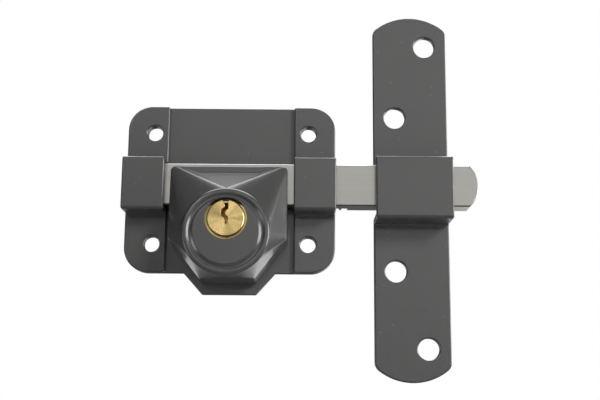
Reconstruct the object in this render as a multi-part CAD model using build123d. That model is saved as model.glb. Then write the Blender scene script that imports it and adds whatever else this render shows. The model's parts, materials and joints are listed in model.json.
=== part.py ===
from build123d import *
from collections import namedtuple
from math import acos, atan2, ceil, cos, degrees, pi, radians, sin, tan
import os

# Rim deadbolt lock for a gate: a screwed-on case with two pressed guide straps, a flat bar
# bolt, a cast housing over a pin cylinder whose plug drives the bolt by a pinion and rack,
# and a separate keep that receives the bolt.
#
# Every piece is drawn lying down: x along the bolt's throw, y up the gate, z away from the
# gate towards the person in front. stand_up() then turns it so that z becomes -Y and y
# becomes +Z. The origin is the centre of the four case screws on the gate's face.

# Case plate and guide straps
case_width = 81.0
case_height = 66.0
case_corner = 9.5
plate_sheet = 2.0
strap_width = 16.0
strap_sheet = 2.0
screw_hole = 6.0
screw_spacing_x = 60.0
screw_spacing_y = 44.0
nose_root_half = 17.6
nose_tip_half = 10.3
nose_drop = 8.2

# Bolt bar
bolt_height = 16.0
bolt_thickness = 8.0
bolt_back = plate_sheet + 0.5
bolt_front = bolt_back + bolt_thickness
bolt_tail_x = -38.2
bolt_tip_x = 94.8
bolt_nose_rise = 3.5
guide_side_play = 0.25
guide_front_play = 0.5

# Pinion and rack
gear_module = 1.0
pinion_teeth = 17
travel_teeth = 13
pressure_angle = 20.0
flank_gap = 0.06
rack_depth = 2.8
pinion_back = plate_sheet + 0.7
pinion_thickness = 2.3
pitch_radius = gear_module * pinion_teeth / 2
tooth_pitch = pi * gear_module
plug_y = -bolt_height / 2 + gear_module - pitch_radius
pinion_room = pitch_radius + 1.8 * gear_module

# Cast housing
housing_half = 22.4
housing_top = 6.9
housing_side_low = -21.8
housing_base_half = 10.3
housing_low = -36.9
housing_draft = 0.3
top_round = 2.0
side_round = 5.0
base_round = 1.2
wall_top_upper = 11.9
wall_top_side = 15.0
wall_top_lower = 14.2
boss_y = -20.4
boss_radius = 16.2
boss_step = 20.8
boss_front = 22.0
roof_ledge = 2.7
ledge_flat = 0.56
low_wall_rise = 5.6
low_wall_fan = 31.0
turn_step = 7.5
rim_radius = 16.0
rim_step = 21.5
ridge_outer = 14.8
ridge_inner = 14.3
groove_outer = 13.8
groove_inner = 12.9
face_radius = 12.4
groove_depth = 0.7
bolt_roof = bolt_front + 0.5
bolt_floor = -bolt_height / 2 - 0.4
housing_hole = 7.7

# Pin cylinder
body_radius = 11.35
body_back = 7.0
body_front = 20.5
plug_radius = 5.8
plug_head = 7.0
plug_head_chamfer = 0.5
plug_back = 0.2
keyway_back = 8.4
plug_collar_back = 5.2
journal_radius = 3.0
seat_radius = 4.0
seat_flat = 3.0
clip_groove_radius = 5.0
clip_thickness = 0.8
clip_rim = 1.2
clip_mouth_half = 2.4
running_gap = 0.05
pin_radius = 1.2
pin_count = 4
pin_first = 9.9
pin_pitch = 2.8
key_pin_length = 3.4
key_tip_length = 0.8
key_tip_radius = 0.4
driver_length = 3.5
cover_y = -30.9
cover_thickness = 0.7
cover_width = 3.2
spring_radius = 0.8
spring_wire = 0.34
spring_turns = 4
spring_sides = 8

# Screws
housing_screw_radius = 1.5
housing_screw_length = 10.0
housing_screw_head = 2.9
housing_screw_seat = 1.2
housing_screw_places = [(-18.2, -12.5), (18.2, -12.5), (-12.2, -29.6), (12.2, -29.6)]
lock_screw_radius = 1.25
lock_screw_length = 5.5
lock_screw_angle = 210.0
slot_depth = 0.7
slot_half = 0.4

# Keep
keep_x = 55.5
keep_width = 29.2
keep_length = 145.8
keep_sheet = 2.5
keep_y = -1.2
keep_inner_half = 9.6
keep_inner_front = 11.6
keep_end_rise = 5.9
keep_corner = 4.0
keep_hole = 8.2
keep_outer_hole = (20.5, 60.3)
keep_inner_hole = (8.4, 30.65)

bend_inside = 0.5
edge_round = 0.35
cut_over = 1.0

HousingCorner = namedtuple("HousingCorner", "point radius level fan rise ledge")
Column = namedtuple("Column", "foot crest ledge level lean")


def stand_up(shape):
    """Turn a piece drawn lying down into its place on the gate."""
    return Plane.XZ.location * shape


def rod(radius, low, high, x=0.0, y=0.0):
    """Round bar from z = low to z = high."""
    return Pos(x, y, low) * Cylinder(radius, high - low, align=(Align.CENTER, Align.CENTER, Align.MIN))


def block(x_range, y_range, z_range):
    """Rectangular block given by its low and high side in each direction."""
    size = [high - low for low, high in (x_range, y_range, z_range)]
    return Pos(x_range[0], y_range[0], z_range[0]) * Box(*size, align=(Align.MIN, Align.MIN, Align.MIN))


def direction(angle):
    """Unit vector at an angle in degrees."""
    return Vector(cos(radians(angle)), sin(radians(angle)))


def without_repeats(points):
    """Points of a closed ring with none equal to the one before it."""
    return [point for index, point in enumerate(points) if (point - points[index - 1]).length > 1e-6]


def solid_through(rings):
    """Solid with flat triangles between rings of points, closed by the first and the last ring."""
    faces = [Face(Wire.make_polygon(without_repeats(ring))) for ring in (rings[0][::-1], rings[-1])]
    for low, high in zip(rings, rings[1:]):
        for index in range(len(low)):
            for corners in (
                (low[index - 1], low[index], high[index]), (low[index - 1], high[index], high[index - 1]),
            ):
                if len(without_repeats(corners)) == len(corners):
                    faces.append(Face(Wire.make_polygon(corners)))
    return Solid(Shell(faces))


def case_screw_places():
    """Centres of the four screws that hold the case."""
    return [(sx * screw_spacing_x / 2, sy * screw_spacing_y / 2) for sx in (-1, 1) for sy in (-1, 1)]


def corners_at(section, half, height):
    """Corners of a section at one height and one distance from its middle line."""
    near = 1e-4
    return [v for v in section.vertices() if abs(abs(v.X) - half) < near and abs(v.Y - height) < near]


def hat_section(half_length, half_inside, inside_top, back, sheet):
    """Section of a strip that is bent over a bar: two flanges, two walls and a bridge."""
    half_outside = half_inside + sheet
    top = inside_top + sheet
    foot = back + sheet
    outline = [
        (-half_length, back), (-half_inside, back), (-half_inside, inside_top),
        (half_inside, inside_top), (half_inside, back), (half_length, back),
        (half_length, foot), (half_outside, foot), (half_outside, top),
        (-half_outside, top), (-half_outside, foot), (-half_length, foot),
    ]
    section = Polygon(*outline, align=None)
    outer_bend = bend_inside + sheet / 3
    section = fillet(corners_at(section, half_outside, top), outer_bend)
    section = fillet(corners_at(section, half_outside, foot), bend_inside)
    return fillet(corners_at(section, half_inside, back), outer_bend)


def bent_strip(x_low, width, section):
    """Strip of the given section, as wide as stated, starting at x_low."""
    return Pos(x_low, 0, 0) * extrude(Plane.YZ * section, width)


def plate_outline():
    """Case plate seen from the front: a rounded rectangle with a nose under the housing."""
    nose_line = -case_height / 2
    nose = Polygon(
        (-nose_root_half, nose_line), (-nose_tip_half, nose_line - nose_drop),
        (nose_tip_half, nose_line - nose_drop), (nose_root_half, nose_line), align=None,
    )
    return RectangleRounded(case_width, case_height, case_corner) + nose


def base_plate():
    plate = extrude(plate_outline(), plate_sheet)
    for x, y in case_screw_places():
        plate -= rod(screw_hole / 2, -cut_over, plate_sheet + cut_over, x, y)
    plate -= rod(journal_radius + running_gap, -cut_over, plate_sheet + cut_over, 0, plug_y)
    for place in housing_screw_places:
        plate -= headed_form(place)
    return plate


def headed_form(place):
    """Screw without its slot: a wide head flush with the plate's back and a shank."""
    head = rod(housing_screw_head, 0, housing_screw_seat, *place)
    return head + rod(housing_screw_radius, housing_screw_seat, housing_screw_length, *place)


def housing_screw(place):
    """Screw with a straight driver slot in its head."""
    reach = housing_screw_head + cut_over
    slot = block(
        (place[0] - reach, place[0] + reach), (place[1] - slot_half, place[1] + slot_half),
        (-cut_over, slot_depth),
    )
    return headed_form(place) - slot


def guide_strap(x_low):
    """Pressed strap that lies on the case plate and bridges the bolt."""
    section = hat_section(
        case_height / 2, bolt_height / 2 + guide_side_play, bolt_front + guide_front_play,
        plate_sheet, strap_sheet,
    )
    strap = bent_strip(x_low, strap_width, section)
    strap &= extrude(RectangleRounded(case_width, case_height, case_corner), 2 * bolt_front)
    for x, y in case_screw_places():
        strap -= rod(screw_hole / 2, 0, bolt_front, x, y)
    return strap


def keep_outline():
    """Keep seen from the front: a long strip with arched ends."""
    half = keep_width / 2
    side = keep_length / 2 - keep_end_rise
    crown = keep_length / 2
    top = ThreePointArc((half, side), (0, crown), (-half, side))
    bottom = ThreePointArc((-half, -side), (0, -crown), (half, -side))
    loop = [top, Line((-half, side), (-half, -side)), bottom, Line((half, -side), (half, side))]
    shape = make_face(loop)
    return Pos(keep_x + half, keep_y) * fillet(shape.vertices(), keep_corner)


def keep_plate():
    section = hat_section(keep_length / 2, keep_inner_half, keep_inner_front, 0, keep_sheet)
    keep = Pos(0, keep_y, 0) * bent_strip(keep_x, keep_width, section)
    keep &= extrude(keep_outline(), 2 * keep_inner_front)
    for along, up in (keep_outer_hole, keep_inner_hole):
        for side in (-1, 1):
            keep -= rod(keep_hole / 2, -cut_over, 2 * keep_sheet, keep_x + along, keep_y + side * up)
    return keep


def rack_space():
    """Gap between two rack teeth, straight flanks, centred on x = 0."""
    pitch_line = -bolt_height / 2 + gear_module
    slope = tan(radians(pressure_angle))
    half_at_pitch = tooth_pitch / 4 + flank_gap
    root = 1.25 * gear_module
    reach = 1.5 * gear_module
    half_root = half_at_pitch - root * slope
    half_mouth = half_at_pitch + reach * slope
    return Polygon(
        (-half_mouth, pitch_line - reach), (half_mouth, pitch_line - reach),
        (half_root, pitch_line + root), (-half_root, pitch_line + root), align=None,
    )


def bolt_bar():
    half = bolt_height / 2
    shoulder = bolt_tip_x - bolt_nose_rise
    nose = ThreePointArc((shoulder, -half), (bolt_tip_x, 0), (shoulder, half))
    outline = make_face([
        nose, Line((shoulder, half), (bolt_tail_x, half)),
        Line((bolt_tail_x, half), (bolt_tail_x, -half)), Line((bolt_tail_x, -half), (shoulder, -half)),
    ])
    bar = Pos(0, 0, bolt_back) * extrude(outline, bolt_thickness)
    bar = chamfer(bar.edges().group_by(Axis.Z)[-1], edge_round)
    space = Pos(0, 0, bolt_back - cut_over) * extrude(rack_space(), rack_depth + cut_over)
    spare = 1
    for index in range(-spare, travel_teeth + spare + 1):
        bar -= Pos(index * tooth_pitch, 0, 0) * space
    return bar


def involute_point(radius, half_thickness_angle):
    """Point of a tooth's right flank at the given radius, for a tooth that points up."""
    base = pitch_radius * cos(radians(pressure_angle))
    tilt = radians(pressure_angle)
    angle_at = acos(min(1.0, base / radius))
    roll = (tan(angle_at) - angle_at) - (tan(tilt) - tilt)
    angle = half_thickness_angle - roll
    return (radius * sin(angle), radius * cos(angle))


def pinion_tooth():
    """One involute tooth, pointing up, rooted inside the pinion's disc."""
    base = pitch_radius * cos(radians(pressure_angle))
    tip = pitch_radius + gear_module
    half_angle = (tooth_pitch / 4 - flank_gap) / pitch_radius
    flank_steps = 3
    radii = [base + (tip - base) * step / flank_steps for step in range(flank_steps + 1)]
    right = [involute_point(radius, half_angle) for radius in radii]
    deep = pitch_radius - 2 * gear_module
    right.insert(0, (right[0][0] * deep / base, deep))
    left = [(-x, y) for x, y in reversed(right)]
    return Polygon(*right, *left, align=None)


def seat_section():
    """Round seat with two flats that turns the pinion with the plug."""
    return Circle(seat_radius) & Rectangle(2 * seat_radius, 2 * seat_flat)


def drive_pinion():
    disc = Circle(pitch_radius - 1.25 * gear_module)
    tooth = pinion_tooth()
    for index in range(pinion_teeth):
        disc += Rot(0, 0, 360 * index / pinion_teeth) * tooth
    gear = extrude(disc - seat_section(), pinion_thickness)
    return Pos(0, plug_y, pinion_back) * gear


def facing_angle(start, end):
    """Outward direction of a side in degrees, on an outline that runs counter-clockwise."""
    along = end - start
    return degrees(atan2(-along.X, along.Y))


def housing_corners():
    """Corners of the housing's outline, counter-clockwise from the top right.

    Each has its rounding and the wall's height there, then three facts of the side after
    it: its spread over the boss, the rise of its crest and the depth of its flat ledge."""
    half = housing_half
    base = housing_base_half
    plain = (0, 0, 0)
    roof = (0, 0, roof_ledge)
    bottom = (low_wall_fan, low_wall_rise, 0)
    return [
        HousingCorner(Vector(half, housing_top), top_round, wall_top_upper, *roof),
        HousingCorner(Vector(-half, housing_top), top_round, wall_top_upper, *plain),
        HousingCorner(Vector(-half, housing_side_low), side_round, wall_top_side, *plain),
        HousingCorner(Vector(-base, housing_low), base_round, wall_top_lower, *bottom),
        HousingCorner(Vector(base, housing_low), base_round, wall_top_lower, *plain),
        HousingCorner(Vector(half, housing_side_low), side_round, wall_top_side, *plain),
    ]


def corner_columns(before, corner, after):
    """Columns round one corner: the wall's height runs smoothly from one side to the next."""
    start = facing_angle(before.point, corner.point)
    sweep = (facing_angle(corner.point, after.point) - start) % 360
    half_sweep = radians(sweep / 2)
    centre = corner.point - direction(start + sweep / 2) * (corner.radius / cos(half_sweep))
    setback = corner.radius * tan(half_sweep)
    ends = []
    for neighbour in (before, after):
        share = setback / (neighbour.point - corner.point).length
        ends.append(corner.level + (neighbour.level - corner.level) * share)
    lean_start = start + before.fan
    lean_sweep = sweep - before.fan - corner.fan
    steps = ceil(sweep / turn_step)
    columns = []
    for step in range(steps + 1):
        share = step / steps
        outward = direction(start + sweep * share)
        level = (1 - share) ** 2 * ends[0] + 2 * share * (1 - share) * corner.level + share ** 2 * ends[1]
        foot = centre + outward * corner.radius
        crest = foot - outward * housing_draft
        columns.append(Column(foot, crest, crest, level, lean_start + lean_sweep * share))
    return columns


def side_shares(corner):
    """Where columns stand along the side after a corner, as shares of its length."""
    if corner.ledge:
        return [(1 - ledge_flat) / 2, (1 + ledge_flat) / 2]
    steps = ceil(2 * corner.fan / turn_step)
    return [step / steps for step in range(1, steps)]


def side_columns(corner, first, last):
    """Columns along a side with a ledge, or whose crest rises in an arc."""
    outward = (first.foot - first.crest).normalized()
    columns = []
    for share in side_shares(corner):
        level = first.level + corner.rise * (1 - (2 * share - 1) ** 2)
        foot = first.foot + (last.foot - first.foot) * share
        crest = foot - outward * housing_draft
        ledge = crest - outward * corner.ledge
        columns.append(Column(foot, crest, ledge, level, first.lean + 2 * corner.fan * share))
    return columns


def housing_columns():
    """All columns of the housing, from the top right corner counter-clockwise.

    Every column leans to one point of the round boss. The two ends of a straight side lean
    to the same point, which makes a flat facet; a rounded corner makes a curved one."""
    corners = housing_corners()
    count = len(corners)
    rounds = []
    for index, corner in enumerate(corners):
        rounds.append(corner_columns(corners[index - 1], corner, corners[(index + 1) % count]))
    columns = []
    for index, corner in enumerate(corners):
        columns += rounds[index]
        columns += side_columns(corner, rounds[index][-1], rounds[(index + 1) % count][0])
    return columns


def housing_outside():
    """Outside of the housing: walls, leaning facets and the round boss with its rounded rim."""
    columns = housing_columns()
    rings = [
        [Vector(column.foot.X, column.foot.Y, plate_sheet) for column in columns],
        [Vector(column.crest.X, column.crest.Y, column.level) for column in columns],
        [Vector(column.ledge.X, column.ledge.Y, column.level) for column in columns],
    ]
    centre = Vector(0, boss_y)
    for radius, height in ((boss_radius, boss_step), (rim_radius, rim_step), (ridge_outer, boss_front)):
        points = [centre + direction(column.lean) * radius for column in columns]
        rings.append([Vector(point.X, point.Y, height) for point in points])
    return Part() + solid_through(rings)


def face_groove():
    """Ring that is cut into the housing's face, with sloping sides."""
    floor = boss_front - groove_depth
    above = boss_front + cut_over
    profile = Polygon(
        (ridge_inner, above), (ridge_inner, boss_front), (groove_outer, floor), (groove_inner, floor),
        (face_radius, boss_front), (face_radius, above), align=None,
    )
    return Pos(0, boss_y, 0) * revolve(Plane.XZ * profile, Axis.Z)


def lock_housing():
    form = housing_outside() - face_groove()
    reach = housing_half + cut_over
    form -= block((-reach, reach), (bolt_floor, housing_top + cut_over), (0, bolt_roof))
    form -= rod(body_radius + running_gap, 0, body_front, 0, boss_y)
    form -= rod(pinion_room, 0, body_back, 0, plug_y)
    form -= rod(housing_hole, body_front - cut_over, boss_front + cut_over, 0, plug_y)
    form -= lock_screw_form()
    for place in housing_screw_places:
        form -= rod(housing_screw_radius, 0, housing_screw_length, *place)
    return form


def lock_screw_form():
    """Round of the screw that is half in the cylinder body and half in the housing."""
    turn = radians(lock_screw_angle)
    x = body_radius * cos(turn)
    y = boss_y + body_radius * sin(turn)
    return rod(lock_screw_radius, body_back, body_back + lock_screw_length, x, y)


def cylinder_lock_screw():
    screw = lock_screw_form()
    centre = screw.center()
    slot = block(
        (centre.X - 2, centre.X + 2), (centre.Y - slot_half, centre.Y + slot_half),
        (body_back - cut_over, body_back + slot_depth),
    )
    return screw - slot


def pin_heights():
    """Distance of each pin stack from the gate's face."""
    return [pin_first + index * pin_pitch for index in range(pin_count)]


def pin_rod(radius, height, top, bottom):
    """Round bar along y, as a pin stands under the plug."""
    return Pos(0, top, height) * Rot(90, 0, 0) * rod(radius, 0, top - bottom)


def cylinder_body():
    body = rod(body_radius, body_back, body_front, 0, boss_y)
    body -= rod(plug_radius + running_gap, body_back - cut_over, body_front + cut_over, 0, plug_y)
    for height in pin_heights():
        body -= pin_rod(pin_radius + running_gap, height, plug_y, cover_y)
    body -= cover_form()
    return body - lock_screw_form()


def cover_form():
    """Strip that closes the pin chambers."""
    ends = (pin_heights()[0] - cover_width / 2, pin_heights()[-1] + cover_width / 2)
    return block((-cover_width / 2, cover_width / 2), (cover_y - cover_thickness, cover_y), ends)


def keyway_section():
    """Stepped keyway that opens at the top of the plug."""
    right = [(0.9, 7.5), (0.9, 3.4), (-0.2, 2.4), (-0.2, 1.3), (0.8, 0.5), (0.8, -2.2)]
    left = [
        (-0.4, -2.2), (-0.5, -0.1), (-1.7, 0.8), (-1.7, 3.0),
        (-0.4, 4.1), (-0.4, 5.0), (-1.3, 5.9), (-1.3, 7.5),
    ]
    return Polygon(*reversed(left), *reversed(right), align=None)


def cylinder_plug():
    head = rod(plug_head, body_front + running_gap, boss_front)
    head = chamfer(head.edges().group_by(Axis.Z)[-1], plug_head_chamfer)
    plug = head + rod(plug_radius, body_back, boss_step)
    plug += rod(clip_groove_radius, plug_collar_back, body_back)
    plug += rod(plug_radius, plug_collar_back, body_back - clip_thickness - running_gap)
    plug += Pos(0, 0, pinion_back) * extrude(seat_section(), plug_collar_back - pinion_back)
    plug += rod(journal_radius, plug_back, pinion_back)
    keyway = Pos(0, 0, keyway_back) * extrude(keyway_section(), boss_front)
    plug = Pos(0, plug_y, 0) * (plug - keyway)
    for height in pin_heights():
        plug -= pin_rod(pin_radius + running_gap, height, plug_y - 1, plug_y - plug_radius - cut_over)
    return plug


def plug_circlip():
    """Split ring that keeps the plug in the cylinder body."""
    outer = plug_radius + clip_rim
    low = body_back - clip_thickness - running_gap / 2
    ring = rod(outer, low, low + clip_thickness, 0, plug_y)
    ring -= rod(clip_groove_radius, 0, body_back, 0, plug_y)
    mouth = block((-clip_mouth_half, clip_mouth_half), (plug_y - outer - cut_over, plug_y), (0, body_back))
    return ring - mouth


def key_pin(height):
    """Lower pin with a pointed end, its flat end on the shear line."""
    flat_end = plug_y - plug_radius + running_gap
    shaft_top = flat_end + key_pin_length - key_tip_length
    pin = pin_rod(pin_radius, height, shaft_top, flat_end)
    tip = Pos(0, shaft_top, height) * Rot(-90, 0, 0) * Cone(
        pin_radius, key_tip_radius, key_tip_length, align=(Align.CENTER, Align.CENTER, Align.MIN)
    )
    return pin + tip


def driver_top():
    """Level of the shear line on the driver pins' side."""
    return plug_y - plug_radius - 2 * running_gap


def driver_pin(height):
    return pin_rod(pin_radius, height, driver_top(), driver_top() - driver_length)


def pin_spring(height):
    """Coil spring of square wire between a driver pin and the chamber cover."""
    top = driver_top() - driver_length - spring_wire / 2
    fall = top - cover_y - spring_wire / 2
    stations = spring_turns * spring_sides
    half = spring_wire / 2
    rings = []
    for station in range(stations + 1):
        share = station / stations
        outward = direction(360 * spring_turns * share)
        ring = []
        for out, up in ((-half, -half), (-half, half), (half, half), (half, -half)):
            place = outward * (spring_radius + out)
            ring.append(Vector(place.X, top - fall * share + up, height + place.Y))
        rings.append(ring)
    return Part() + solid_through(rings)


def make_pieces():
    """Every piece of the lock by its name, in its place."""
    strap_left = -case_width / 2
    strap_right = case_width / 2 - strap_width
    pieces = {
        "base_plate": base_plate(),
        "left_guide_strap": guide_strap(strap_left),
        "right_guide_strap": guide_strap(strap_right),
        "lock_housing": lock_housing(),
        "bolt_bar": bolt_bar(),
        "drive_pinion": drive_pinion(),
        "cylinder_body": cylinder_body(),
        "cylinder_plug": cylinder_plug(),
        "plug_circlip": plug_circlip(),
        "chamber_cover": cover_form(),
        "cylinder_lock_screw": cylinder_lock_screw(),
        "keep": keep_plate(),
    }
    for number, height in enumerate(pin_heights(), start=1):
        pieces[f"key_pin_{number}"] = key_pin(height)
        pieces[f"driver_pin_{number}"] = driver_pin(height)
        pieces[f"pin_spring_{number}"] = pin_spring(height)
    for number, place in enumerate(housing_screw_places, start=1):
        pieces[f"housing_screw_{number}"] = housing_screw(place)
    return pieces


os.makedirs("parts", exist_ok=True)
for name, piece in make_pieces().items():
    export_step(stand_up(piece), f"parts/{name}.step")
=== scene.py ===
import json
import math
from collections import namedtuple

import bmesh
import bpy
from mathutils import Matrix, Vector


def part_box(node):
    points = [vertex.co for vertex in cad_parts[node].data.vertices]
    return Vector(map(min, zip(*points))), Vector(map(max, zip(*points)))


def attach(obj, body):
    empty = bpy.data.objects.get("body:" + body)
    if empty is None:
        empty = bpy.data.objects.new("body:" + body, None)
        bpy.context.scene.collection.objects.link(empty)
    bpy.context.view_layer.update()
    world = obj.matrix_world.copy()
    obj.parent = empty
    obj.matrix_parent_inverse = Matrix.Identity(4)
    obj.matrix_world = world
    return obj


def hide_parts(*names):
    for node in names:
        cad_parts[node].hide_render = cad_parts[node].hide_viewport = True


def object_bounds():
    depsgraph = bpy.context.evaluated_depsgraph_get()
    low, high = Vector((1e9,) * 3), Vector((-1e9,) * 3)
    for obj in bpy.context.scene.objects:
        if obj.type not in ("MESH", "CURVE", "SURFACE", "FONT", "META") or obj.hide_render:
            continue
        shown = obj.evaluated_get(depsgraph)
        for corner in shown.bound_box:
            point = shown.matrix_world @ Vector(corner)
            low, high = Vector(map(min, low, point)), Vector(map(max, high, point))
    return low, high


bl_info = {
    "name": "Rim deadbolt lock",
    "version": (1, 0, 0),
    "blender": (4, 5, 0),
    "location": "View3D > Sidebar > Rim lock",
    "description": "Finished pieces, materials, light and camera of a rim deadbolt lock with its keep",
    "category": "Object",
}

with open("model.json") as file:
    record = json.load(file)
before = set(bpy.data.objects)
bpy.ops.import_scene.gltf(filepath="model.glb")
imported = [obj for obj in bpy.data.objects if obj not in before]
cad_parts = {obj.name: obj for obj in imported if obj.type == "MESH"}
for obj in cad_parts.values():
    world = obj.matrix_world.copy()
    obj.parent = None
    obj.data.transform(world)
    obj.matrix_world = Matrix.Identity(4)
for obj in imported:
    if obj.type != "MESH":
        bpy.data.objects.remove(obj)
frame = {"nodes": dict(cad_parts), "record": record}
cad_box = [list(corner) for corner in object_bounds()]

MILLIMETRE = 0.001


def mm(value):
    """Millimetres as the scene's metres."""
    return value * MILLIMETRE


WELD_DISTANCE = mm(0.001)
LOFT_WELD_DISTANCE = mm(0.002)
FLAT_WITHIN = math.radians(0.4)
OVERLAP = mm(1.0)
BORE_SIDES = 96
STRIP_REACH = mm(20.0)


def length(name, description, millimetres):
    """Property of one length, given in millimetres and kept in metres."""
    return bpy.props.FloatProperty(
        name=name, description=description, default=mm(millimetres), unit="LENGTH",
    )


class LockSizes(bpy.types.PropertyGroup):
    """Sizes of the sheets, bends, edges, springs and screws."""

    strap_sheet: length("Strap sheet", "Thickness of the sheet that the guide straps are pressed from", 2.0)
    keep_sheet: length("Keep sheet", "Thickness of the sheet that the keep is pressed from", 2.5)
    keep_inside: length("Keep inside", "Half of the clear height inside the keep's staple", 9.6)
    keep_rise: length("Keep end rise", "How far the keep's arched ends rise in the middle", 5.9)
    keep_corner: length("Keep corner", "Rounding of the keep's four corners", 4.0)
    case_corner: length("Case corner", "Rounding of the case's four corners", 9.5)
    side_play: length("Side play", "Gap between the bolt bar and the straps above and below it", 0.25)
    bend: length("Bend radius", "Inside radius of the pressed bends", 0.5)
    plate_edge: length("Plate edge", "Rounding of the case plate's cut edges", 0.35)
    sheet_edge: length("Sheet edge", "Rounding of the straps' and the keep's cut edges", 0.7)
    cast_edge: length("Cast edge", "Setback of the casting's rounded crests", 0.7)
    bar_edge: length("Bar edge", "Rounding of the bolt bar's edges", 0.12)
    bore_edge: length("Bore edge", "Rounding of the housing's cut edges", 0.16)
    fine_edge: length("Fine edge", "Rounding of turned and cut small pieces", 0.08)
    spring_radius: length("Spring radius", "Radius of a pin spring's coil, to the middle of its wire", 0.8)
    spring_wire: length("Spring wire", "Radius of the pin springs' wire", 0.17)
    screw_head: length("Screw head", "Height of a housing screw's head", 1.2)
    screw_shank: length("Screw shank", "Radius of a housing screw's shank", 1.5)
    slot_width: length("Slot width", "Width of a housing screw's slot", 0.8)
    slot_depth: length("Slot depth", "Depth of a housing screw's slot", 0.7)
    hole_sides: bpy.props.IntProperty(
        name="Hole sides", description="Straight sides that make one round hole", default=56, min=12,
    )


class HousingSizes(bpy.types.PropertyGroup):
    """Shape of the cast housing; heights are distances from the gate."""

    top: length("Top", "Level of the top wall's foot", 6.9)
    side_low: length("Side low", "Level at which the straight sides end and the sloping ones begin", -21.8)
    base_half: length("Half base", "Half width of the bottom wall", 10.3)
    top_wall: length("Top wall", "Height of the wall at the two top corners", 11.9)
    side_wall: length("Side wall", "Height of the wall at the low ends of the straight sides", 15.0)
    base_wall: length("Base wall", "Height of the wall at the two bottom corners", 14.2)
    draft: length("Draft", "How far the walls lean in from foot to crest", 0.3)
    top_round: length("Top corner", "Rounding of the two top corners", 2.0)
    side_round: length("Side corner", "Rounding of the two side corners", 5.0)
    base_round: length("Base corner", "Rounding of the two bottom corners", 1.2)
    ledge: length("Roof ledge", "Depth of the flat ledge over the bolt", 2.7)
    base_rise: length("Base rise", "Rise of the bottom wall's crest in its middle", 5.6)
    boss_level: length("Boss level", "Level of the round boss's centre", -20.4)
    boss_radius: length("Boss radius", "Radius of the boss at its foot", 16.2)
    boss_step: length("Boss foot", "Height of the boss's foot", 20.8)
    ridge_outer: length("Ridge outer", "Outer radius of the ridge round the face", 14.8)
    ridge_inner: length("Ridge inner", "Inner radius of the ridge round the face", 14.35)
    groove_outer: length("Groove outer", "Outer radius of the groove's floor", 13.5)
    groove_inner: length("Groove inner", "Inner radius of the groove's floor", 13.1)
    face_radius: length("Face radius", "Radius of the flat face inside the groove", 12.0)
    groove_depth: length("Groove depth", "Depth of the groove", 0.7)
    wall_gap: length("Bolt gap", "Gap between the bolt bar and the housing", 0.4)
    roof_gap: length("Roof gap", "Gap between the bolt bar and the housing's roof", 0.5)
    pinion_room: length("Pinion room", "Radius of the pocket round the pinion", 10.3)
    mouth: length("Mouth", "Radius of the hole that the plug's head stands in", 7.7)
    ledge_flat: bpy.props.FloatProperty(
        name="Ledge share", description="Share of the ledge's length that has its full depth", default=0.56,
    )
    base_fan: bpy.props.FloatProperty(
        name="Base fan", description="How far the bottom wall spreads over the boss to each side",
        default=math.radians(31.0), subtype="ANGLE",
    )
    turn_step: bpy.props.FloatProperty(
        name="Turn step", description="Angle between two columns of points round a corner",
        default=math.radians(3.0), subtype="ANGLE",
    )


class LockColours(bpy.types.PropertyGroup):
    """Colours and gloss of the finishes."""

    paint: bpy.props.FloatVectorProperty(
        name="Paint", description="Dark grey powder coat", subtype="COLOR", default=(0.058, 0.058, 0.057),
    )
    paint_roughness: bpy.props.FloatProperty(
        name="Paint roughness", description="Roughness of the powder coat", default=0.3,
    )
    plating: bpy.props.FloatVectorProperty(
        name="Plating", description="Satin zinc plating of the bolt bar", subtype="COLOR",
        default=(0.46, 0.449, 0.422),
    )
    fixings: bpy.props.FloatVectorProperty(
        name="Fixings", description="Zinc plating of the pinion, the clip and the screws", subtype="COLOR",
        default=(0.45, 0.45, 0.44),
    )
    wire: bpy.props.FloatVectorProperty(
        name="Wire", description="Steel of the pin springs", subtype="COLOR", default=(0.42, 0.42, 0.41),
    )
    brass: bpy.props.FloatVectorProperty(
        name="Brass", description="Brass of the plug and the cylinder", subtype="COLOR",
        default=(0.88, 0.66, 0.28),
    )


def node(tree, kind, values=None, **settings):
    """New node in a tree, with its settings made and its inputs filled by values or other sockets."""
    made = tree.nodes.new(kind)
    for key, value in settings.items():
        setattr(made, key, value)
    fill(tree, made, values or {})
    return made


def feed(tree, socket, value):
    """Link a socket to an input, or set the input's plain value."""
    if isinstance(value, bpy.types.NodeSocket):
        tree.links.new(value, socket)
    else:
        socket.default_value = value


def fill(tree, made, values):
    """Link or set the named inputs of a node."""
    for key, value in values.items():
        feed(tree, made.inputs[key], value)


def maths(tree, operation, *values):
    made = node(tree, "ShaderNodeMath", dict(enumerate(values)), operation=operation)
    return made.outputs[0]


def vector_maths(tree, operation, values, output="Vector"):
    return node(tree, "ShaderNodeVectorMath", values, operation=operation).outputs[output]


def combined(tree, x, y, z):
    return node(tree, "ShaderNodeCombineXYZ", {"X": x, "Y": y, "Z": z}).outputs[0]


def blank_mesh(name, points=(), faces=()):
    mesh = bpy.data.meshes.new(name)
    mesh.from_pydata([tuple(point) for point in points], [], [tuple(face) for face in faces])
    return mesh


def put_in_scene(name, mesh):
    piece = bpy.data.objects.new(name, mesh)
    bpy.context.scene.collection.objects.link(piece)
    return piece


def round_edges(piece, width, segments=3, least_angle=30.0, slide=True):
    """Bevel every edge that is sharper than the least angle, and keep flat faces flat to the light."""
    bevel = piece.modifiers.new("rounded edges", "BEVEL")
    bevel.width = width
    bevel.segments = segments
    bevel.limit_method = "ANGLE"
    bevel.angle_limit = math.radians(least_angle)
    bevel.use_clamp_overlap = False
    bevel.loop_slide = slide
    weighted = piece.modifiers.new("flat faces shaded flat", "WEIGHTED_NORMAL")
    weighted.weight = 100


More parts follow.
